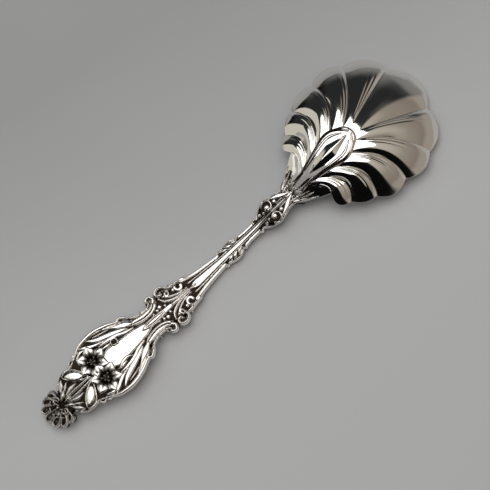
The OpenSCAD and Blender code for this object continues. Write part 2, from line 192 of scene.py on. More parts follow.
# From the heel to the tip: ridge and rim as shares of the bowl's height, and its half-width
RIDGE = [
    (0, 0.47), (7, 0.61), (13, 0.735), (20, 0.87), (27, 0.95), (36, 1), (47, 0.965), (59, 0.81),
    (71, 0.5), (79, 0.2), (BOWL_LENGTH, 0.05),
]
RIM = [
    (0, 0.44), (7, 0.49), (13, 0.53), (17, 0.54), (27, 0.51), (43, 0.44), (61, 0.29), (74, 0.14),
    (BOWL_LENGTH, 0.04),
]
SPREAD = [
    (0, 5.4), (7, 11), (12, 19), (17, 23.5), (28, 29.5), (43, 32.5), (52, 33), (60, 30.8),
    (71, 24.5), (79, 12.5), (BOWL_LENGTH, 4),
]

# Creases from the tip to the heel: where each leaves the axis, what it bends towards, its notch
STARTS = np.array([(35, 0), (29, 0), (21, 0), (13, 0), (6.5, 0), (3, 0), (0, 0)])
BENDS = np.array([(57, 8), (51, 10), (45, 14), (35, 13.5), (27, 12), (16, 8), (0, 2.7)])
NOTCHES = np.array([
    (74, 13.7), (59.8, 29.3), (42.5, 31), (27.3, 28), (17.3, 21.9), (12.8, 13.3), (0, 5.4),
])
# How far the rim swells between the notches
BULGES = np.array([4.6, 3.4, 3.3, 1.8, 3.5, 0.4])
# Start and bend of the middle line of the lobe at the tip
TIP_START = np.array((39, 0))
TIP_BEND = np.array((60.5, 0))

# Places count lobes from the middle of the one at the tip, so the notches lie at the halves
FIRST_NOTCH = 0.5
LAST_NOTCH = FIRST_NOTCH + len(BULGES) - 1
HEEL_PLACE = LAST_NOTCH + 1

# Creases: they are sharp near the tip and deeper near the heel, and the last one is faint
FLUTE_DEPTH = 1.9
HEEL_FLUTE_DEPTH = 2.6
DEEPER_PLACES = (3, 4.3)
TIP_CREASE_POWER = 1.8
LOBE_SKEW = 0.62
EVEN_PLACES = (3.6, 4.6)
LAST_CREASE = 0.12
FAINT_PLACES = (4.9, LAST_NOTCH)
CREASE_DEEPENS = (0.12, 0.6)

# Fine lines: place beside each crease and share of the depth, and where they begin and end
FINE_LINES = [(0.13, 1), (0.27, 0.6)]
FINE_LINE_DEPTH = 0.4
FINE_LINE_WIDTH = 0.035
FINE_LINES_END = 5.6
LINE_DEEPENS = (0.22, 0.5)
LINE_FADES = (0.6, 0.92)

# Steps of the mesh across a lobe, from the axis to the rim and round the lip
LOBE_STEPS = 40
RIM_STEPS = 130
LIP_STEPS = 5
NORMAL_STEP = 0.1


def dome(x, y):
    """Height of the back of the bowl without its creases."""
    a = np.clip(x - HEEL_X, 0, BOWL_LENGTH)
    top = curve(RIDGE, a)
    fall = (np.abs(y) / curve(SPREAD, a)) ** DOME_POWER
    return BOWL_HEIGHT * (top - (top - curve(RIM, a)) * fall)


def dome_normal(x, y):
    """Direction straight out of the dome."""
    e = NORMAL_STEP
    along = dome(x - e, y) - dome(x + e, y)
    across = dome(x, y - e) - dome(x, y + e)
    n = np.stack([along, across, np.full_like(x, 2 * e)], -1)
    return n / np.linalg.norm(n, axis=-1, keepdims=True)


def spoke_ends(t):
    """Start, bend and rim point of the spokes at the places t."""
    k = np.clip(np.floor(t - FIRST_NOTCH).astype(int), 0, len(BULGES) - 1)
    s = (t - FIRST_NOTCH - k)[:, None]
    chord = NOTCHES[k + 1] - NOTCHES[k]
    out = np.stack([chord[:, 1], -chord[:, 0]], 1) / np.linalg.norm(chord, axis=1)[:, None]
    start = lerp(STARTS[k], STARTS[k + 1], s)
    bend = lerp(BENDS[k], BENDS[k + 1], s)
    rim = NOTCHES[k] + chord * s + out * (4 * BULGES[k])[:, None] * s * (1 - s)
    # The lobe at the tip lies across the axis
    tip = (t <= FIRST_NOTCH)[:, None]
    q = (t / FIRST_NOTCH)[:, None]
    tip_x = BOWL_LENGTH - (BOWL_LENGTH - NOTCHES[0, 0]) * q**2
    tip_rim = np.concatenate([tip_x, NOTCHES[0, 1] * q], 1)
    start = np.where(tip, lerp(TIP_START, STARTS[0], q), start)
    bend = np.where(tip, lerp(TIP_BEND, BENDS[0], q), bend)
    return start, bend, np.where(tip, tip_rim, rim)


def flute(t, v):
    """Depth of the creases and the fine lines beside them, at a share v of the way to the rim.

    The lobes are highest on the side of the tip, except near the heel.
    """
    heel = smooth_step(*EVEN_PLACES, t)
    part = t - FIRST_NOTCH - np.floor(t - FIRST_NOTCH)
    skewed = np.where(t > FIRST_NOTCH, part ** lerp(LOBE_SKEW, 1, heel), part)
    last = 1 - np.sin(0.5 * math.pi * np.clip(t - LAST_NOTCH, 0, 1))
    crease = np.where(t > LAST_NOTCH, last, 1 - np.sin(math.pi * skewed))
    crease = crease ** lerp(TIP_CREASE_POWER, 1, heel)
    crease = crease * lerp(1, LAST_CREASE, smooth_step(*FAINT_PLACES, t))
    depth = lerp(FLUTE_DEPTH, HEEL_FLUTE_DEPTH, smooth_step(*DEEPER_PLACES, t))
    away = (t - FIRST_NOTCH) - np.round(t - FIRST_NOTCH)
    line = sum(
        share * np.exp(-(((away - place) / FINE_LINE_WIDTH) ** 2)) for place, share in FINE_LINES
    )
    line = np.where(t > FINE_LINES_END, 0, line)
    fade = smooth_step(*LINE_DEEPENS, v) * (1 - smooth_step(*LINE_FADES, v))
    return depth * crease * smooth_step(*CREASE_DEEPENS, v) + FINE_LINE_DEPTH * line * fade


def bowl_sheet():
    """Points of the bowl along spokes that run from the axis over the lip and back inside."""
    places = np.linspace(0, HEEL_PLACE, int(HEEL_PLACE * LOBE_STEPS) + 1)
    t = np.concatenate([-places[:0:-1], places])
    v = np.linspace(0, 1, RIM_STEPS + 1)
    start, bend, rim = (end[:, None] for end in spoke_ends(np.abs(t)))
    w = v[None, :, None]
    plan = lerp(lerp(start, bend, w), lerp(bend, rim, w), w)
    x = plan[..., 0] + HEEL_X
    y = plan[..., 1] * np.sign(t)[:, None]
    back = np.stack([x, y, dome(x, y) - flute(np.abs(t)[:, None], v[None, :])], -1)
    inward = dome_normal(x, y) * BOWL_WALL
    # The lip is half an ellipse from the back to the inside
    out = back[:, -1] - back[:, -2]
    out[:, 2] = 0
    out *= LIP_SWELL / np.linalg.norm(out, axis=-1, keepdims=True)
    half = inward[:, -1] / 2
    turns = np.linspace(0, math.pi, LIP_STEPS + 2)[1:-1]
    lip = [back[:, -1] - half + half * math.cos(a) + out * math.sin(a) for a in turns]
    sheet = np.concatenate([back, np.stack(lip, 1), (back - inward)[:, ::-1]], 1)
    sheet[..., 2] = np.maximum(sheet[..., 2], 0)
    return sheet


def make_bowl(material):
    sheet = bowl_sheet()
    columns, rows = sheet.shape[:2]
    index = np.arange(columns * rows).reshape(columns, rows)
    # Both halves share the points on the axis
    for row in (0, rows - 1):
        index[: columns // 2, row] = index[: columns // 2 : -1, row]
    corners = [index[:-1, 1:], index[1:, 1:], index[1:, :-1], index[:-1, :-1]]
    faces = np.stack(corners, -1).reshape(-1, 4).tolist()
    faces += [index[0, ::-1].tolist(), index[-1].tolist()]
    # A face on the axis loses its repeated points
    faces = [tuple(dict.fromkeys(face)) for face in faces]
    faces = [face for face in faces if len(face) > 2]
    make_piece("fluted_bowl", sheet.reshape(-1, 3), faces, {}, material, "bowl")


# Relief: strokes raised on a fine grid, on both sides of the axis unless they say otherwise
BOTH_SIDES = (1, -1)
AS_DRAWN = (1,)
MIRRORED = (-1,)
FAR_OUTSIDE = -9
POINT_SPACING = 0.2
FEWEST_POINTS = 6
# Points and soft edge of the painted shade lines
SHADE_LINE_POINTS = 60
SHADE_LINE_EDGE = 0.6
BEAD_HALF = 0.1

# Dark oxide: widths of blur, and heights and depths in the relief from bare to dark
WIDE_BLUR = 1
FINE_BLUR = 0.4
GROUND = (0.45, 0.15)
WIDE_RECESS = (0.2, 0.6)
FINE_RECESS = (0.1, 0.3)
# Past the heel the metal is bare, and at the sides only beyond the small leaves
BARE_PAST_HEEL = (4, 0)
LEAF_LENGTH = 7
LEAF_SIDES = (2.5, 5)
POLISHED_FROM = (HEEL_X - 3, HEEL_X + 1)

# Points that move in to the outline: cells that count outside it, cells of a move, least slope
OUTER_CELLS = 3
MOVED_CELLS = 1.2
LEAST_SLOPE = 0.2

# Profiles: height of a stroke at a share q of its half-width from its middle
RIDGED_POWER = 1.3
PLAIN_EDGE = 0.72
PLAIN_FALL = 0.12
BROAD_POWER = 5


def rounded(q):
    return np.sqrt(1 - q**2)


def ridged(q):
    return 1 - q**RIDGED_POWER


def plain(q):
    return smooth_step(1, PLAIN_EDGE, q) * (1 - PLAIN_FALL * q**2)


def broad(q):
    return np.sqrt(1 - q**BROAD_POWER)


class Relief:
    """A drawing in relief: how far a point is inside its outline, and how high it stands there."""

    def __init__(self, low, high, step):
        self.step = step
        self.x = np.arange(low[0], high[0], step)
        self.y = np.arange(low[1], high[1], step)
        self.grid_x, self.grid_y = np.meshgrid(self.x, self.y, indexing="ij")
        self.inside = np.full(self.grid_x.shape, float(FAR_OUTSIDE))
        self.height = np.zeros(self.grid_x.shape)
        # Tarnish, and painted shade drawn as dark lines
        self.tarnish_and_shade = np.zeros(self.grid_x.shape)

    def near(self, line, half):
        """The part of the grid near a line, its shares of the half-width and its depths inside."""
        reach = half.max() + 2 * self.step
        low = line.min(0) - reach
        high = line.max(0) + reach
        i = slice(*np.searchsorted(self.x, (low[0], high[0])))
        j = slice(*np.searchsorted(self.y, (low[1], high[1])))
        away_x = self.x[i, None, None] - line[:, 0]
        away_y = self.y[None, j, None] - line[:, 1]
        square = away_x**2 + away_y**2
        share = np.sqrt((square / half**2).min(2))
        return (i, j), share, (half - np.sqrt(square)).max(2)

    def stroke(self, path, widths, rise, profile=rounded, outline=False, sides=BOTH_SIDES):
        """Raises a stroke along a path, or sinks it. Widths are half-widths along it."""
        path = np.array(path, float)
        length = np.linalg.norm(np.diff(path, axis=0), axis=1).sum()
        count = max(FEWEST_POINTS, int(length / POINT_SPACING))
        half = np.interp(np.linspace(0, 1, count), np.linspace(0, 1, len(widths)), widths)
        for side in sides:
            line = spline(path, count) * (1, side)
            spot, share, depth = self.near(line, half)
            raised = rise * profile(np.minimum(share, 1))
            if rise > 0:
                self.height[spot] = np.maximum(self.height[spot], raised)
            else:
                self.height[spot] += raised
            if outline:
                self.inside[spot] = np.maximum(self.inside[spot], depth)

    def beads(self, places, rise):
        """Raises a bead at each place, which is its x, y and radius."""
        for x, y, radius in places:
            self.stroke([(x - BEAD_HALF, y), (x + BEAD_HALF, y)], [radius, radius], rise, broad)

    def paint_shade_line(self, path, widths):
        """Paints shade as a dark line along a path."""
        shares = np.linspace(0, 1, SHADE_LINE_POINTS)
        half = np.interp(shares, np.linspace(0, 1, len(widths)), widths)
        spot, share, _ = self.near(spline(path, SHADE_LINE_POINTS), half)
        dark = smooth_step(1, SHADE_LINE_EDGE, share)
        self.tarnish_and_shade[spot] = np.maximum(self.tarnish_and_shade[spot], dark)

    def oxide(self):
        """Share of dark oxide, which stays on the ground and in recesses that polishing misses,
        together with tarnish and painted shade lines.
        """
        wide = blurred(self.height, WIDE_BLUR / self.step) - self.height
        fine = blurred(self.height, FINE_BLUR / self.step) - self.height
        recess = smooth_step(*WIDE_RECESS, wide) + smooth_step(*FINE_RECESS, fine)
        recess = recess + smooth_step(*GROUND, self.height)
        leaf = LEAF_LENGTH * smooth_step(*LEAF_SIDES, np.abs(self.grid_y))
        bare = smooth_step(*BARE_PAST_HEEL, self.grid_x - HEEL_X - leaf)
        return np.maximum(np.clip(recess, 0, 1) * bare, self.tarnish_and_shade)

    def piece(self, name, top, bottom, middle, material, node, slot):
        """A closed mesh: the top and bottom sheets meet along the outline."""
        f = self.inside
        within = f > 0
        cells = within[:-1, :-1] | within[1:, :-1] | within[1:, 1:] | within[:-1, 1:]
        used = np.zeros(f.shape, bool)
        for di, dj in ((0, 0), (1, 0), (1, 1), (0, 1)):
            used[di : f.shape[0] - 1 + di, dj : f.shape[1] - 1 + dj] |= cells
        edge = used & ~within
        # Points just outside move in to the outline
        gx, gy = np.gradient(np.maximum(f, -OUTER_CELLS * self.step), self.step)
        slope = np.maximum(gx**2 + gy**2, LEAST_SLOPE)
        limit = MOVED_CELLS * self.step
        x = self.grid_x + np.where(edge, np.clip(-f * gx / slope, -limit, limit), 0)
        y = self.grid_y + np.where(edge, np.clip(-f * gy / slope, -limit, limit), 0)
        upper = np.where(edge, middle, top)
        count = used.sum()
        top_index = np.full(f.shape, -1)
        top_index[used] = np.arange(count)
        low_index = top_index.copy()
        low_index[within] = count + np.arange(within.sum())
        points = np.concatenate([
            np.stack([x[used], y[used], upper[used]], 1),
            np.stack([x[within], y[within], bottom[within]], 1),
        ])
        polish = smooth_step(*POLISHED_FROM, self.grid_x)
        layers = {
            "oxide": np.concatenate([self.oxide()[used], np.zeros(within.sum())]),
            "polish": np.concatenate([polish[used], polish[within]]),
        }
        faces = []
        for index, order in ((top_index, (0, 1, 2, 3)), (low_index, (3, 2, 1, 0))):
            corners = [index[:-1, :-1], index[1:, :-1], index[1:, 1:], index[:-1, 1:]]
            faces += np.stack([corners[k][cells] for k in order], 1).tolist()
        make_piece(name, points, faces, layers, material, node)


# Handle: half-width, height of the middle, half-thickness and rounding of the edge along it
PLAN = [
    (-112, 2.5), (-109, 4.2), (-105.5, 6.2), (-103, 8), (-99, 10.2), (-94, 10.2), (-90, 11.4),
    (-85, 13.6), (-80, 14.4), (-74, 13.8), (-68, 11.2), (-63, 9.2), (-59, 6.6), (-54, 5.2),
    (-49, 6.4), (-46, 6.4), (-42, 8.2), (-38, 7), (-34, 6.7), (-31, 6.4), (-24.5, 4.8),
    (-14.5, 3.4), (-10.5, 3.2), (-4.5, 4.2), (1.5, 3), (7.5, 2.6), (13, 2.9), (17, 4.6),
    (20.7, 6.2), (24.5, 5.5), (28.5, 4.6), (31.5, 4.6), (34.5, 5.4),
]
SPINE = [
    (-120, 4.9), (-115, 5.3), (-98, 7), (-80, 7.55), (-63, 6.7), (-46, 4.75), (-31, 2.9),
    (-23, 2.1), (-4.5, 2.25), (9, 3.5), (21, 6.3), (29, 7.4), (33, 8.1), (36, 9.5), (42, 11.8),
]
BODY = [
    (-115, 0.4), (-102, 1.3), (-56, 1.3), (-31, 2), (-23, 2.2), (-4.5, 2.2), (9, 2.1), (29, 1.8),
    (33, 1.2), (36, 1.1), (42, 1.1),
]
EDGE = [(-115, 1.1), (-60, 1.2), (-30, 1.6), (10, 1.5), (30, 1.2), (38, 1.2), (46, 1.6)]
HANDLE_LOW = (-112.6, -17)
HANDLE_HIGH = (72, 17.1)
HANDLE_STEP = 0.2

# The tongue and the small leaves lap the back of the bowl: where they begin, and how they lie
TONGUE_LAPS = (HEEL_X, HEEL_X + 6)
LEAF_LAPS = (HEEL_X - 1, HEEL_X + 1)
LEAVES_BESIDE = (4, 5.5)
LAP_RISE = 1
LAP_SINK = 0.8
LAP_BELLY = 0.1

# Tarnish on the neck, where the relief isn't worn bright, and towards the end of the handle
NECK_TARNISH = 0.36
NECK_BEGINS = (13, 17)
NECK_ENDS = (48, 38)
WORN_BRIGHT = (1, 1.45)
END_TARNISH = 0.3
END_BEGINS = (-92, -98)


def draw_leaf_zone(r):
    rim = [(-105.2, 6.2), (-102.6, 8.9), (-99.5, 10.4), (-94, 10.2), (-91, 11.3)]
    r.stroke(rim, [0.5, 0.7, 0.7, 0.7, 0.5], 1.1, outline=True)
    outer_edge = [(-90.4, 1), (-91.9, 5.2), (-94.2, 8.6), (-97.4, 10), (-100, 9.6)]
    r.stroke(outer_edge, [0.4, 0.45, 0.45, 0.45, 0.3], 1.3)
    inner_edge = [(-90.4, 1), (-93.8, 2.3), (-97.4, 4.6), (-99.3, 7.4), (-100, 9.6)]
    r.stroke(inner_edge, [0.4, 0.5, 0.5, 0.5, 0.3], 1.3)
    r.stroke([(-92.8, 3.4), (-95.4, 5.6), (-98.2, 8)], [0.7, 2.1, 2.6, 2.3, 1], 1.5, broad)
    r.stroke([(-101.2, 8.4), (-102.9, 6.7), (-104.6, 4.4)], [0.4, 1.5, 0.5], 1.6, broad)
    r.stroke([(-99.8, 6), (-101.6, 4.9), (-103.2, 3.4)], [0.3, 0.8, 0.3], 1.4, broad)
    r.stroke([(-97, 2.8), (-100, 2.8), (-103.4, 1.8)], [0.3, 1.1, 0.5], 1.6, broad)
    r.stroke([(-104.5, 0.8), (-98, 1), (-90, 0.6)], [0.7, 0.8, 0.5], 1.4)
    for thorn in ([(-94, 11), (-92.8, 12.2), (-91.6, 11.8)], [(-91, 11.6), (-89.8, 13), (-88.6, 12.8)]):
        r.stroke(thorn, [0.7, 0.6, 0.3], 1, outline=True)


def draw_broad_part(r):
    rim = [
        (-91, 11.2), (-88.5, 12.8), (-85, 14.4), (-80, 15.1), (-75, 14.7), (-70, 13.2),
        (-66, 11.4), (-63.5, 11.3),
    ]
    r.stroke(rim, [0.5, 0.7, 1.1, 1.2, 1.2, 1, 0.6], 1.4, broad, outline=True)
    upper = [(-60.5, 5.8), (-63.6, 7.8), (-66.4, 9.8), (-69.5, 12), (-73, 13.6)]
    r.stroke(upper, [0.4, 1.7, 1.7, 1.2, 0.6], 1.4, broad)
    second = [(-63.5, 5.4), (-67, 7), (-70.5, 8.4), (-74.6, 9.8), (-78, 11.3), (-81, 13.6)]
    r.stroke(second, [0.3, 1, 1.3, 1.3, 1, 0.4], 1.6, broad)
    third = [(-76.6, 8.8), (-80.2, 10), (-83.4, 11.8), (-86, 13.2)]
    r.stroke(third, [0.3, 0.9, 0.9, 0.3], 1.3, broad)
    inner = [(-61.5, 3.9), (-65.5, 4.8), (-69, 6.2), (-73.6, 7.4), (-78.6, 7.8)]
    r.stroke(inner, [0.4, 0.8, 0.7, 0.8, 0.3], 1.4, broad)
    small = [(-74.4, 8.2), (-77.6, 8.9), (-80.6, 10), (-82.6, 11.2)]
    r.stroke(small, [0.2, 0.6, 0.7, 0.3], 1.2, broad)
    r.stroke([(-70, 11.1), (-74, 12.1), (-78, 13.1)], [0.15, 0.35, 0.15], 0.7)
    r.stroke([(-84.5, 11.2), (-87, 11.8), (-89.6, 10.6)], [0.3, 0.9, 0.3], 1.1, broad)
    r.stroke(scroll((-72, 4.9), 1.8, -60, 350, 0.7), [0.45, 0.45], 1.5, sides=AS_DRAWN)
    leaf_tip = [(-69.4, 5.5), (-72, 4.3), (-74.6, 4.6), (-77.4, 5.9)]
    r.stroke(leaf_tip, [0.2, 0.7, 0.7, 0.3], 1.5, broad, sides=MIRRORED)
    r.stroke([(-73.2, 5.4), (-75.8, 5.8), (-78.4, 5.9)], [0.3, 0.65, 0.3], 1.2, broad)
    panel = [(-79.6, 0), (-76.5, 0), (-70, 0), (-64, 0), (-59, 0), (-54, 0)]
    r.stroke(panel, [2.4, 5.1, 4.5, 3.9, 3, 1.5], 0.8, broad, sides=AS_DRAWN)


def draw_shoulder(r):
    bulb = [(-60, 8.6), (-62, 10.8), (-63.9, 11.7), (-64.9, 10.6), (-63.8, 9.8)]
    r.stroke(bulb, [0.8, 1, 1, 0.8, 0.5], 1.4, outline=True)
    band = [
        (-62.5, 6.6), (-58.8, 5.3), (-55, 4.5), (-51, 4.5), (-47.9, 5.7), (-46.2, 7.8), (-46.8, 9.3),
    ]
    r.stroke(band, [0.6, 1.7, 1.8, 1.8, 1.6, 1.2, 0.9], 1.1, broad, outline=True)
    edge = [(-61, 9.3), (-57.5, 7.2), (-52, 6.5), (-50, 7), (-48.8, 7.8)]
    r.stroke(edge, [0.6, 0.6, 0.6, 0.6, 0.6], 1.7, outline=True)
    fold = [(-60, 5.2), (-56, 4.2), (-52, 4.1), (-48.6, 5.2), (-46.8, 7.2)]
    r.stroke(fold, [0.2, 0.35, 0.35, 0.35, 0.2], -0.7)
    hook = scroll((-48, 8.4), 1.9, -70, 230, 0.75)
    r.stroke(hook, [0.8, 0.9, 1], 1.9, broad, outline=True)
    for thorn in ([(-55.2, 6.4), (-54.8, 7.8)], [(-51.2, 6.7), (-50.6, 8)]):
        r.stroke(thorn, [0.8, 0.55], 1.3, outline=True)
    bud = [(-59, 0), (-55, 0), (-51, 0), (-46, 0), (-42, 0)]
    r.stroke(bud, [0.2, 1.7, 2, 1.5, 1.1], 1.8, broad, sides=AS_DRAWN)
    r.stroke([(-58, 0.2), (-53, 0.7), (-46, 0.4)], [0.1, 0.3, 0.1], -0.5)
    r.stroke([(-43, 0), (-36, 0), (-27.5, 0)], [0.8, 0.65, 0.4], 1.4, sides=AS_DRAWN)
    curl = [
        (-38.4, 7.4), (-39.6, 9.3), (-41.8, 10.2), (-43.9, 9.4), (-44, 7.6), (-42.4, 7.1), (-41.6, 8.2),
    ]
    r.stroke(curl, [0.9, 1, 1.1, 1.1, 1, 0.9, 0.7], 1.7, outline=True)
    tail = [(-39, 7.3), (-36, 7.2), (-33.5, 6.7), (-29.5, 6.1)]
    r.stroke(tail, [0.7, 0.95, 1, 0.9], 1.4, broad, outline=True)
    r.stroke([(-37.4, 7.2), (-36.8, 8.3)], [0.9, 0.6], 1.3, outline=True)
    tendril = [(-44.4, 6.2), (-43.2, 3.8), (-40.6, 2.1), (-37, 1.1), (-31, 0.7)]
    r.stroke(tendril, [0.5, 0.8, 0.8, 0.6, 0.3], 1.4)
    r.stroke([(-42.4, 5.6), (-39.4, 3.6), (-35.4, 2), (-31, 1.5)], [0.4, 0.6, 0.6, 0.2], 1.2)
    r.stroke(scroll((-39.8, 5.4), 1.3, 40, 320, 0.5), [0.6, 0.6, 0.5], 1.2)
    r.stroke(scroll((-33.6, 4.4), 2.3, 60, 290, 0.5), [0.7, 0.8, 0.95], 1.9, broad)
    beads = [
        (-46.3, 3, 1), (-44, 1.9, 0.65), (-48.2, 2.5, 0.7), (-36.6, 4.9, 0.75), (-50.6, 2.1, 0.5),
        (-41.6, 5.4, 0.6),
    ]
    r.beads(beads, 1.4)


def draw_stem(r):
    upper_edge = [(-31, 5.7), (-25, 4.4), (-20, 3.7), (-11, 2.8)]
    r.stroke(upper_edge, [1, 1, 0.95, 0.8], 1, broad, outline=True)
    rail = [(-29.5, 2.7), (-20, 2.05), (-10, 1.45), (5, 1.1), (17, 0.85)]
    r.stroke(rail, [0.35, 0.32, 0.3, 0.26, 0.22], 0.6)
    panel = [(-29, 0), (-26, 0), (-20, 0), (-10, 0), (5, 0), (18, 0)]
    r.stroke(panel, [1, 2, 1.6, 1, 0.7, 0.4], 0.5, plain, sides=AS_DRAWN)
    r.stroke([(-11, 3.1), (-10.3, 3.7), (-9.2, 3.2)], [0.8, 0.9, 0.5], 1.1, outline=True)
    swell = [(-9.5, 3.4), (-7, 4.2), (-4, 4.5), (-1.5, 3.8), (0, 2.8)]
    r.stroke(swell, [0.4, 0.6, 0.6, 0.6, 0.4], 0.8, outline=True)
    for x in (-7.6, -4.8, -2):
        r.stroke([(x - 1.2, 3.8), (x, 2.7), (x + 1.8, 1.8)], [0.5, 0.95, 0.3], 1.4, broad)
    r.stroke([(0.2, 2.6), (1.3, 3.2), (2.6, 2.7)], [0.5, 0.8, 0.5], 1, outline=True)
    r.stroke([(2, 2.7), (6, 2.4), (11, 2.4)], [0.7, 0.7, 0.65], 1, broad, outline=True)


def draw_neck(r):
    r.stroke([(10.6, 2.3), (11.8, 3.2), (13, 2.6)], [0.6, 0.9, 0.5], 1.1, outline=True)
    edge = [(13.5, 2.8), (16.5, 4.9), (20.5, 6.3), (24, 5.7), (28, 4.5), (31, 4.5), (34, 5.6)]
    r.stroke(edge, [0.5, 0.45, 0.45, 0.5, 0.55, 0.55, 0.4], 0.9, outline=True)
    r.stroke(scroll((20.6, 3.5), 2.6, 150, -290, 0.8), [0.55, 0.65, 0.6], 1.6)
    keel = [(17.5, 0), (22, 0), (26, 0), (30, 0)]
    r.stroke(keel, [0.4, 1.3, 1.2, 0.3], 0.8, ridged, sides=AS_DRAWN)
    r.stroke([(23.4, 5), (26.4, 3.8), (29, 2.2), (32.4, 0.8)], [0.5, 1.1, 1.1, 0.4], 1.4, broad)
    r.stroke([(24.6, 1.4), (27.5, 1.3), (30.5, 0.5)], [0.2, 0.5, 0.2], 0.9)
    r.stroke(scroll((32.6, 2.4), 1.4, 30, 300), [0.5, 0.45, 0.4], 1.1)
    r.stroke([(29.5, 0), (32.5, 0.3), (35.5, 0)], [0.3, 0.7, 0.3], 1.1)
    r.stroke([(27.6, 3.3), (30.6, 2.9), (33.6, 3.6), (36.6, 3.4)], [0.3, 0.7, 0.7, 0.2], 1.1)
    beads = [(20.2, 2.7, 1.25), (17.4, 1.9, 0.6), (24.6, 2.5, 0.95), (15.4, 2.6, 0.8), (35.2, 3, 0.7)]
    r.beads(beads, 1.8)
    # The small leaves beside the tongue and their veins
    r.stroke([(31, 3.6), (35, 5.4), (39.5, 7.6)], [1.4, 2.1, 1], 0.05, plain, outline=True)
    r.stroke([(31, 3.2), (35, 4.1), (39.2, 5.4)], [0.4, 0.5, 0.2], 1, outline=True)
    r.stroke([(31, 3.8), (35, 5.5), (39.6, 7.4)], [0.4, 0.5, 0.2], 1, outline=True)
    r.stroke([(31, 4.2), (35.4, 6.9), (40.6, 10.2)], [0.5, 0.6, 0.2], 1, outline=True)


def draw_tongue(r):
    leaf = [(31, 0), (42, 0), (50, 0), (57, 0), (61.5, 0), (66, 0), (71, 0)]
    widths = [4, 3.6, 5.6, 7.4, 8.4, 6.4, 0.5]
    r.stroke(leaf, widths, 0.01, plain, outline=True, sides=AS_DRAWN)
    edge = [(43, 4.1), (50, 5.2), (56.5, 6.9), (61.5, 7.5), (66, 5.6), (70, 0.9)]
    r.stroke(edge, [0.3, 0.6, 0.8, 0.8, 0.7, 0.3], 0.5)
    keel = [(45, 0), (51, 0), (58, 0), (67.5, 0)]
    r.stroke(keel, [0.3, 2.3, 3.3, 0.3], 0.9, ridged, sides=AS_DRAWN)
    r.stroke([(35.5, 1.2), (41, 1.7), (46.5, 2.2)], [0.2, 0.5, 0.2], -0.35)
    vein = [(44, 2.6), (50, 3.7), (57, 5), (62, 5), (67, 2.4)]
    r.stroke(vein, [0.2, 0.5, 0.6, 0.6, 0.2], 0.4)


def paint_tongue_shade(r):
    """Painted shade: dark lines along the edges of the tongue and at its base, where it lies on the
    bowl, with some oxide in those corners.
    """
    far_edge = [
        (37.5, 2.4), (41, 2.8), (44.5, 3.4), (50, 4.7), (56.5, 6.4), (60.5, 7.2), (64, 6.5),
        (67, 4.8), (69.5, 2.4),
    ]
    r.paint_shade_line(far_edge, [0.5, 1.1, 1, 0.6, 0.7, 1.1, 0.8, 1.1, 0.2])
    near_edge = [(40, -2.8), (48, -4.3), (55, -5.9), (60, -7.2), (63.5, -6.7)]
    r.paint_shade_line(near_edge, [0.3, 0.5, 0.8, 0.8, 0.2])
    r.paint_shade_line([(38, -1.4), (41, -1.7), (44.5, -2)], [0.3, 0.7, 0.2])
    r.paint_shade_line([(35, 1.4), (37, 1.7)], [0.3, 0.3])


def make_handle(material):
    r = Relief(HANDLE_LOW, HANDLE_HIGH, HANDLE_STEP)
    x, y = r.grid_x, r.grid_y
    first, last = PLAN[0][0], PLAN[-1][0]
    body = np.where((x >= first) & (x <= last), curve(PLAN, x) - np.abs(y), FAR_OUTSIDE)
    r.inside = np.maximum(r.inside, np.minimum(body, np.minimum(x - first, last - x)))
    draw_leaf_zone(r)
    draw_broad_part(r)
    draw_shoulder(r)
    draw_stem(r)
    draw_neck(r)
    draw_tongue(r)
    neck = NECK_TARNISH * smooth_step(*NECK_BEGINS, x) * smooth_step(*NECK_ENDS, x)
    unworn = 1 - smooth_step(*WORN_BRIGHT, r.height)
    r.tarnish_and_shade += neck * unworn + END_TARNISH * smooth_step(*END_BEGINS, x)
    # Painted shade lines along the tongue
    paint_tongue_shade(r)
    depth = np.clip(r.inside / curve(EDGE, x), 0, 1)
    edge = round_over(depth)
    half = curve(BODY, x) * edge
    bevel = np.sin(0.5 * math.pi * depth)
    leaves = smooth_step(*LEAF_LAPS, x) * smooth_step(*LEAVES_BESIDE, np.abs(y))
    lap = np.maximum(smooth_step(*TONGUE_LAPS, x), leaves)
    spine = curve(SPINE, x)
    seat = dome(x, y) - LAP_SINK
    middle = lerp(spine, seat, lap)
    top = lerp(spine + half, seat + (LAP_SINK + LAP_RISE) * bevel, lap) + r.height
    bottom = np.maximum(lerp(spine - half, seat - LAP_BELLY * edge, lap), 0)
    r.piece("relief_handle", top, bottom, middle, material, "handle", "oxidised_silver")


# Palmette: a fan of hollow lobes at the end of the handle
FAN_RADIUS = 12.5
FAN_X = END_X + FAN_RADIUS
FAN_NARROW = 0.28
LOBES = 7
LOBE_ANGLE = 22
LOBE_SPREAD = 1.06
FAN_HALF = LOBES * LOBE_ANGLE / 2
LOBE_TIP = 2.1
FAN_FALL = 1
FAN_EDGE = 1.2
FAN_UPPER = 1.2
FAN_LOWER = 1.3
FAN_TARNISH = 0.32
FAN_LOW = (END_X - 1, -12)
FAN_HIGH = (FAN_X + 4, 12.1)
FAN_STEP = 0.15
# Turn and share of the way out of the points of the hook that edges a lobe
HOOK = [(5, 0.3), (8.5, 0.68), (9.5, 1), (2, 1.15), (-8, 1.03), (-6.5, 0.76), (0.5, 0.74)]


def fan_point(angle, share):
    """A point of the fan, at an angle from its axis and a share of the way to its rim."""
    reach = (FAN_RADIUS * (1 - FAN_NARROW * (angle / FAN_HALF) ** 2) - LOBE_TIP) * share
    return FAN_X - reach * math.cos(math.radians(angle)), reach * math.sin(math.radians(angle))


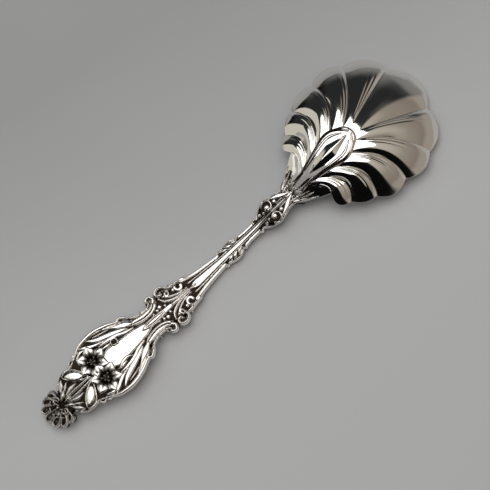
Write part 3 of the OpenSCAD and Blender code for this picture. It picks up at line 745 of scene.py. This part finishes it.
def draw_lobes(r):
    for k in range(LOBES):
        angle = (k - (LOBES - 1) / 2) * LOBE_ANGLE
        path = [fan_point(angle, 0.4), fan_point(angle, 0.7), fan_point(angle * LOBE_SPREAD, 1)]
        r.stroke(path, [1, 1.7, LOBE_TIP], 0.5, plain, outline=True, sides=AS_DRAWN)
        outer = 1 if angle >= 0 else -1
        hook = [fan_point(angle + outer * turn, share) for turn, share in HOOK]
        r.stroke(hook, [0.4, 0.6, 0.75, 0.8, 0.7, 0.6, 0.5], 1.8, sides=AS_DRAWN)


def draw_fan_root(r):
    curl = scroll((FAN_X - 2.2, 3), 1.8, 200, -290, 0.4)
    r.stroke(curl, [0.75, 0.75, 0.65], 2.4, outline=True)
    leaf = [(FAN_X - 1, 1.4), (FAN_X + 1.2, 2.8), (FAN_X + 3.4, 4.4)]
    r.stroke(leaf, [0.4, 1.4, 0.4], 2.3, broad, outline=True)
    stalk = [(FAN_X + 0.2, 0), (FAN_X + 2, 0), (FAN_X + 3.8, 0)]
    r.stroke(stalk, [0.3, 1.1, 0.4], 2.4, broad, outline=True, sides=AS_DRAWN)
    heart = [(FAN_X - 4.4, 0.9), (FAN_X - 2.4, 1), (FAN_X - 0.8, 0.5)]
    r.stroke(heart, [0.3, 0.6, 0.3], 2)


def make_palmette(material):
    r = Relief(FAN_LOW, FAN_HIGH, FAN_STEP)
    draw_lobes(r)
    draw_fan_root(r)
    r.tarnish_and_shade += FAN_TARNISH
    fall = np.clip(((FAN_X - r.grid_x) ** 2 + r.grid_y**2) / FAN_RADIUS**2, 0, 1)
    edge = round_over(np.clip(r.inside / FAN_EDGE, 0, 1))
    middle = curve(SPINE, r.grid_x) - FAN_FALL * fall
    top = middle + FAN_UPPER * edge + r.height
    bottom = middle - FAN_LOWER * edge
    r.piece("fan_palmette", top, bottom, middle, material, "end_palmette", "oxidised_silver")


# Blossoms: six petals round a deep middle with stamens
BLOSSOM_X = -85
BLOSSOM_Y = 4.8
BLOSSOM_Z = 8.9
PETALS = 6
PETAL_TURNS = {1: math.radians(12), -1: math.radians(29)}
PETAL_ROOT = 0.8
PETAL_LENGTH = 7.7
ROOT_WIDTH = 0.5
PETAL_WIDTH = 2.4
PETAL_ROUND = 0.9
PETAL_RISE = [(0, -0.4), (0.25, 0.8), (0.5, 1.4), (0.8, 1.5), (1, 1.1)]
PETAL_LIFT = 0.25
PETAL_BEND = 0.45
PETAL_THICKNESS = 0.5
PETAL_THINNING = 0.6
PETAL_STEPS = 22
PETAL_COLUMNS = 15
GROOVE_DEPTH = 0.2
GROOVE_WIDTH = 0.2
GROOVE_ENDS = (1, 0.7)

# Oxide on a petal: in the middle of the blossom, along the vein and along the edges
HEART_DARK = (0.62, 0.22)
VEIN_DARK = 0.75
VEIN_WIDTH = 0.16
VEIN_ENDS = (0.85, 0.55)
EDGE_DARK = 0.6
EDGE_BEGINS = (0.7, 1)
EDGE_ENDS = (0.8, 0.5)

# Radius and height of the rings of the dark cup under the stamens
CUP_RINGS = [(2.4, -1), (2.4, -0.1), (0.3, -0.3)]
CUP_SIDES = 24
STAMENS = 6
STAMEN_START = 0.2
STAMEN_REACH = 2.1
STAMEN_SHORTER = 0.9
STAMEN_RISE = 0.9
STAMEN_TOP = 1.4
STAMEN_RADIUS = 0.16
STAMEN_POINTS = 9
STAMEN_SIDES = 8
STAMEN_DARK = 0.3
ANTHER_HALF = 0.5
ANTHER_RADIUS = 0.22
ANTHER_END = 0.03
ANTHER_TILT = 0.1
ANTHER_SIDES = 10
ANTHER_DARK = 0.55


def petal_rings(angle, lift):
    """Rings of points along a petal, over its top and back below, and the oxide there."""
    u = np.linspace(0, 1, PETAL_STEPS)[:, None]
    w = np.linspace(-1, 1, PETAL_COLUMNS)[None, :]
    half = ROOT_WIDTH * (1 - u) + PETAL_WIDTH * np.sin(math.pi * u) ** PETAL_ROUND
    groove = GROOVE_DEPTH * np.exp(-((w / GROOVE_WIDTH) ** 2)) * smooth_step(*GROOVE_ENDS, u)
    top = curve(PETAL_RISE, u) + lift - PETAL_BEND * w**2 - groove
    low = top - PETAL_THICKNESS * (1 - PETAL_THINNING * w**2)
    along = np.broadcast_to(PETAL_ROOT + (PETAL_LENGTH - PETAL_ROOT) * u, top.shape)
    across = half * w
    x = along * math.cos(angle) - across * math.sin(angle)
    y = along * math.sin(angle) + across * math.cos(angle)
    upper = np.stack([x, y, top], -1)
    lower = np.stack([x, y, low], -1)[:, ::-1]
    vein = VEIN_DARK * np.exp(-((w / VEIN_WIDTH) ** 2)) * smooth_step(*VEIN_ENDS, u)
    edges = EDGE_DARK * smooth_step(*EDGE_BEGINS, np.abs(w)) * smooth_step(*EDGE_ENDS, u)
    dark = np.clip(smooth_step(*HEART_DARK, u) + vein + edges, 0, 1)
    return np.concatenate([upper, lower], 1), np.concatenate([dark, dark], 1)


def add_cup(solids, centre):
    a = np.linspace(0, 2 * math.pi, CUP_SIDES, endpoint=False)
    rings = [
        np.stack([radius * np.cos(a), radius * np.sin(a), np.full_like(a, z)], -1)
        for radius, z in CUP_RINGS
    ]
    solids.loft(np.array(rings) + centre, 1)


def add_stamen(solids, centre, angle, reach):
    """A thin stalk that leans outwards, with an anther across its end."""
    out = np.array((math.cos(angle), math.sin(angle), 0))
    places = [(STAMEN_START, 0), (0.5 * reach, STAMEN_RISE), (reach, STAMEN_TOP)]
    stalk = spline([centre + out * away + (0, 0, z) for away, z in places], STAMEN_POINTS)
    solids.tube(stalk, np.full(STAMEN_POINTS, STAMEN_RADIUS), STAMEN_SIDES, STAMEN_DARK)
    across = np.array((-out[1], out[0], ANTHER_TILT))
    s = np.linspace(-1, 1, STAMEN_POINTS)
    anther = stalk[-1] + across * ANTHER_HALF * s[:, None]
    radii = ANTHER_END + ANTHER_RADIUS * np.sqrt(1 - s**2)
    solids.tube(anther, radii, ANTHER_SIDES, ANTHER_DARK)


def make_blossoms(material):
    solids = Solids()
    for side in BOTH_SIDES:
        centre = np.array((BLOSSOM_X, side * BLOSSOM_Y, BLOSSOM_Z))
        for k in range(PETALS):
            angle = 2 * math.pi * k / PETALS + PETAL_TURNS[side]
            rings, dark = petal_rings(angle, PETAL_LIFT * (k % 2))
            solids.loft(rings + centre, dark)
        add_cup(solids, centre)
        for k in range(STAMENS):
            angle = 2 * math.pi * (k + 0.5) / STAMENS
            add_stamen(solids, centre, angle, STAMEN_REACH - STAMEN_SHORTER * (k % 2))
    solids.piece("blossoms", material, "blossom_pair", "oxidised_silver")


# Materials: sockets of a mix node by kind of value, which are its two ends and its result
MIX_SOCKETS = {"FLOAT": (2, 3, 0), "RGBA": (6, 7, 2)}


def add_node(tree, kind, **values):
    """A node with its inputs or settings set by name."""
    made = tree.nodes.new(kind)
    for key, value in values.items():
        if key in made.inputs:
            made.inputs[key].default_value = value
        else:
            setattr(made, key, value)
    return made


def feed(tree, value, socket):
    """Links a value to a socket, or sets it there where it is a constant."""
    if isinstance(value, bpy.types.NodeSocket):
        tree.links.new(value, socket)
    else:
        socket.default_value = value


def mixed(tree, kind, share, low, high):
    """A blend of two values, by the share of the second."""
    first, second, result = MIX_SOCKETS[kind]
    mix = add_node(tree, "ShaderNodeMix", data_type=kind)
    for place, value in ((0, share), (first, low), (second, high)):
        feed(tree, value, mix.inputs[place])
    return mix.outputs[result]


def ranged(tree, value, source, target=(0, 1), ease="LINEAR"):
    """A value moved from one range to another."""
    made = add_node(tree, "ShaderNodeMapRange", interpolation_type=ease)
    ends = ("From Min", "From Max", "To Min", "To Max")
    for end, limit in zip(ends, (*source, *target)):
        made.inputs[end].default_value = limit
    feed(tree, value, made.inputs["Value"])
    return made.outputs["Result"]


def worked_out(tree, kind, operation, *values):
    """The node that works out an operation on values."""
    made = add_node(tree, kind, operation=operation)
    for socket, value in zip(made.inputs, values):
        feed(tree, value, socket)
    return made


def number(tree, operation, *values):
    return worked_out(tree, "ShaderNodeMath", operation, *values).outputs["Value"]


def vector(tree, operation, *values):
    return worked_out(tree, "ShaderNodeVectorMath", operation, *values).outputs["Vector"]


def dot(tree, first, second):
    return worked_out(tree, "ShaderNodeVectorMath", "DOT_PRODUCT", first, second).outputs["Value"]


def noise(tree, place, **settings):
    made = add_node(tree, "ShaderNodeTexNoise", **settings)
    tree.links.new(place, made.inputs["Vector"])
    return made.outputs["Fac"]


def layer_value(tree, title):
    """The value of a layer of the mesh."""
    return add_node(tree, "ShaderNodeAttribute", attribute_name=title).outputs["Fac"]


def new_material(name):
    """A material with its tree, shader and a place on the object."""
    material = bpy.data.materials.new(name)
    material.use_nodes = True
    tree = material.node_tree
    place = add_node(tree, "ShaderNodeTexCoord").outputs["Object"]
    return material, tree, tree.nodes["Principled BSDF"], place


# Silver: clean and hazy colour, and the roughness of both
BRIGHT_SILVER = ((0.95, 0.935, 0.9, 1), (0.9, 0.875, 0.83, 1), (0.05, 0.11))
AGED_SILVER = ((0.95, 0.92, 0.89, 1), (0.9, 0.86, 0.82, 1), (0.15, 0.23))
HAZE_RANGE = (0.3, 0.7)
# Colour of the oxide, also used for the painted shade lines on the tongue
OXIDE_AND_SHADE_COLOUR = (0.026, 0.018, 0.014, 1)
OXIDE_ROUGHNESS = 0.4
POLISH_EFFECT = -0.1


def make_silver(name, clean, hazy, gloss, with_oxide):
    """Silver with the faint wear of use, and dark oxide where the oxide layer is high; on the tongue
    that layer also holds painted shade lines.
    """
    material, tree, shader, place = new_material(name)
    shader.inputs["Metallic"].default_value = 1
    haze = noise(tree, place, Scale=90, Detail=4, Roughness=0.6)
    colour = mixed(tree, "RGBA", haze, clean, hazy)
    roughness = ranged(tree, haze, HAZE_RANGE, gloss)
    if with_oxide:
        oxide = layer_value(tree, "oxide")
        polish = layer_value(tree, "polish")
        smoother = number(tree, "MULTIPLY_ADD", polish, POLISH_EFFECT, roughness)
        colour = mixed(tree, "RGBA", oxide, colour, OXIDE_AND_SHADE_COLOUR)
        roughness = mixed(tree, "FLOAT", oxide, smoother, OXIDE_ROUGHNESS)
    scratches = noise(tree, place, Scale=2400, Detail=2)
    bump = add_node(tree, "ShaderNodeBump", Strength=0.02, Distance=0.0002)
    tree.links.new(scratches, bump.inputs["Height"])
    tree.links.new(colour, shader.inputs["Base Color"])
    tree.links.new(roughness, shader.inputs["Roughness"])
    tree.links.new(bump.outputs["Normal"], shader.inputs["Normal"])
    return material


# Table, in metres: half its width, and a grey with painted light that is lighter towards the near side
TABLE_HALF = 6
FAR_SHADED_GREY = (0.42, 0.424, 0.431, 1)
NEAR_LIT_GREY = (0.61, 0.617, 0.628, 1)
TOWARDS_NEAR = (-0.21, -0.98, 0)
GREY_RANGE = (-0.12, 0.05)
MOTTLE = 0.25


def table_top():
    """Pale grey with painted shade that darkens it a little towards the far side of the picture."""
    material, tree, shader, place = new_material("table_grey_painted_light")
    shader.inputs["Roughness"].default_value = 0.7
    shader.inputs["Specular IOR Level"].default_value = 0
    # Painted light: the share of the near grey grows towards the near side
    near = ranged(tree, dot(tree, place, TOWARDS_NEAR), GREY_RANGE)
    grain = noise(tree, place, Scale=9, Detail=3)
    mottled = number(tree, "MULTIPLY_ADD", grain, MOTTLE, near)
    tone = mixed(tree, "RGBA", mottled, FAR_SHADED_GREY, NEAR_LIT_GREY)
    tree.links.new(tone, shader.inputs["Base Color"])
    return material


def make_table(material):
    mesh = bpy.data.meshes.new("table")
    corners = [(-1, -1), (1, -1), (1, 1), (-1, 1)]
    points = [(x * TABLE_HALF, y * TABLE_HALF, 0) for x, y in corners]
    mesh.from_pydata(points, [], [(0, 1, 2, 3)])
    mesh.materials.append(material)
    table = bpy.data.objects.new("table", mesh)
    bpy.context.scene.collection.objects.link(table)


# Room: a bearing in degrees from +x, and the cosines to it where something begins and is full
FAR_SIDE = (47, -0.6, 0.6)
HORIZON_SIDE = (0, -0.2, 1)
WALL_EDGES = [(0, 0.03, 0.17), (-80, 0.08, 0.22)]
# The edges of the wall lean outwards higher up
WALL_LEAN = 0.35
HORIZON_RANGE = (0, 0.36)
NEAR_DARK = (0.003, 0.003, 0.003, 1)
FAR_DARK = (0.02, 0.021, 0.022, 1)
HORIZON_DARK = (0.004, 0.004, 0.004, 1)
HORIZON_LIGHT = (0.2, 0.2, 0.195, 1)
# Height and colour up the wall
WALL_TONES = [
    (0, (0.32, 0.285, 0.25, 1)),
    (0.22, (0.31, 0.275, 0.24, 1)),
    (0.34, (0.22, 0.185, 0.16, 1)),
    (0.7, (0.28, 0.25, 0.21, 1)),
    (1, (0.5, 0.46, 0.4, 1)),
]


def facing(tree, heading, bearing, low, high, lean=0):
    """How far a heading turns to a bearing, from 0 at one cosine to 1 at another."""
    a = math.radians(bearing)
    cosine = dot(tree, heading, (math.cos(a), math.sin(a), lean))
    return ranged(tree, cosine, (low, high), ease="SMOOTHSTEP")


def wall_colour(tree, height):
    ramp = add_node(tree, "ShaderNodeValToRGB")
    elements = ramp.color_ramp.elements
    for place, _ in WALL_TONES[1:-1]:
        elements.new(place)
    for element, (_, colour) in zip(elements, WALL_TONES):
        element.color = colour
    tree.links.new(height, ramp.inputs[0])
    return ramp.outputs["Color"]


def dark_room():
    """A dark room with a warm wall to the right, and a horizon that is lighter towards the tip.

    The rest of it is less dark on the far side.
    """
    world = bpy.data.worlds.new("dark_room")
    world.use_nodes = True
    tree = world.node_tree
    place = add_node(tree, "ShaderNodeTexCoord").outputs["Generated"]
    axes = add_node(tree, "ShaderNodeSeparateXYZ")
    tree.links.new(place, axes.inputs[0])
    height = axes.outputs["Z"]
    # A level heading of length 1, with the height kept
    level = vector(tree, "NORMALIZE", vector(tree, "MULTIPLY", place, (1, 1, 0)))
    heading = vector(tree, "MULTIPLY_ADD", place, (0, 0, 1), level)
    dark = mixed(tree, "RGBA", facing(tree, heading, *FAR_SIDE), NEAR_DARK, FAR_DARK)
    glow = facing(tree, heading, *HORIZON_SIDE)
    horizon = mixed(tree, "RGBA", glow, HORIZON_DARK, HORIZON_LIGHT)
    above = ranged(tree, height, HORIZON_RANGE, ease="SMOOTHERSTEP")
    room = mixed(tree, "RGBA", above, horizon, dark)
    edges = [facing(tree, heading, *edge, lean=WALL_LEAN) for edge in WALL_EDGES]
    extent = number(tree, "MULTIPLY", *edges)
    both = mixed(tree, "RGBA", extent, room, wall_colour(tree, height))
    tree.links.new(both, tree.nodes["Background"].inputs["Color"])
    return world


# Lights: soft boxes round the spoon
ELLIPSE_SHARE = math.pi / 4
WHITE = (1, 1, 1)


def soft_box(name, bearing, height, distance, size, brightness, colour, shape="RECTANGLE"):
    """A panel of light of that size and brightness that faces the spoon, at a bearing from +x."""
    lamp = bpy.data.lights.new(name, "AREA")
    lamp.shape = shape
    lamp.size, lamp.size_y = size
    area = size[0] * size[1] * (ELLIPSE_SHARE if shape == "ELLIPSE" else 1)
    lamp.energy = brightness * math.pi * area
    lamp.color = colour
    a = math.radians(bearing)
    place = Vector((distance * math.cos(a), distance * math.sin(a), height))
    box = bpy.data.objects.new(name, lamp)
    box.location = place
    box.rotation_euler = (-place).to_track_quat("-Z", "Y").to_euler()
    bpy.context.scene.collection.objects.link(box)
    return box


def make_lights():
    scene = bpy.context.scene
    scene.view_settings.view_transform = "Standard"
    scene.world = dark_room()
    soft_box(
        "overhead", bearing=85, height=1.17, distance=0.25, size=(0.98, 0.98), brightness=1.91,
        colour=(1, 0.995, 0.985), shape="ELLIPSE",
    )
    fill = soft_box(
        "fill", bearing=120, height=3, distance=1, size=(5, 5), brightness=0.64, colour=WHITE,
    )
    fill.visible_glossy = False
    left_window = soft_box(
        "left_window", bearing=140, height=0.42, distance=0.9, size=(1.2, 0.9), brightness=0.54,
        colour=(1, 0.96, 0.84),
    )
    left_window.visible_diffuse = False
    rear_wall = soft_box(
        "rear_wall", bearing=147, height=0.95, distance=0.75, size=(0.5, 0.5), brightness=0.33,
        colour=WHITE,
    )
    rear_wall.visible_diffuse = False


# Camera: angles in degrees
VIEW_ANGLE = 25
VIEW_HEIGHT = 76.5
VIEW_BEARING = -112.3
VIEW_ROLL = -21
VIEW_DISTANCE = 512
VIEW_TARGET = Vector((2 + DATUM_X, -1.2, 0))


def make_camera():
    e, a, roll = (math.radians(d) for d in (VIEW_HEIGHT, VIEW_BEARING, VIEW_ROLL))
    back = Vector((math.cos(e) * math.cos(a), math.cos(e) * math.sin(a), math.sin(e)))
    level = Vector((-math.sin(a), math.cos(a), 0))
    right = level * math.cos(roll) + back.cross(level) * math.sin(roll)
    data = bpy.data.cameras.new("camera")
    data.sensor_fit = "HORIZONTAL"
    data.angle = math.radians(VIEW_ANGLE)
    camera = bpy.data.objects.new("camera", data)
    turn = Matrix((right, back.cross(right), back)).transposed()
    place = Matrix.Translation((VIEW_TARGET + back * VIEW_DISTANCE) * MM)
    camera.matrix_world = place @ turn.to_4x4()
    bpy.context.scene.collection.objects.link(camera)
    bpy.context.scene.camera = camera


bright = make_silver("polished_silver", *BRIGHT_SILVER, with_oxide=False)
aged = make_silver("oxidised_silver", *AGED_SILVER, with_oxide=True)
make_bowl(bright)
make_handle(aged)
make_palmette(aged)
make_blossoms(aged)
make_table(table_top())
make_lights()
make_camera()
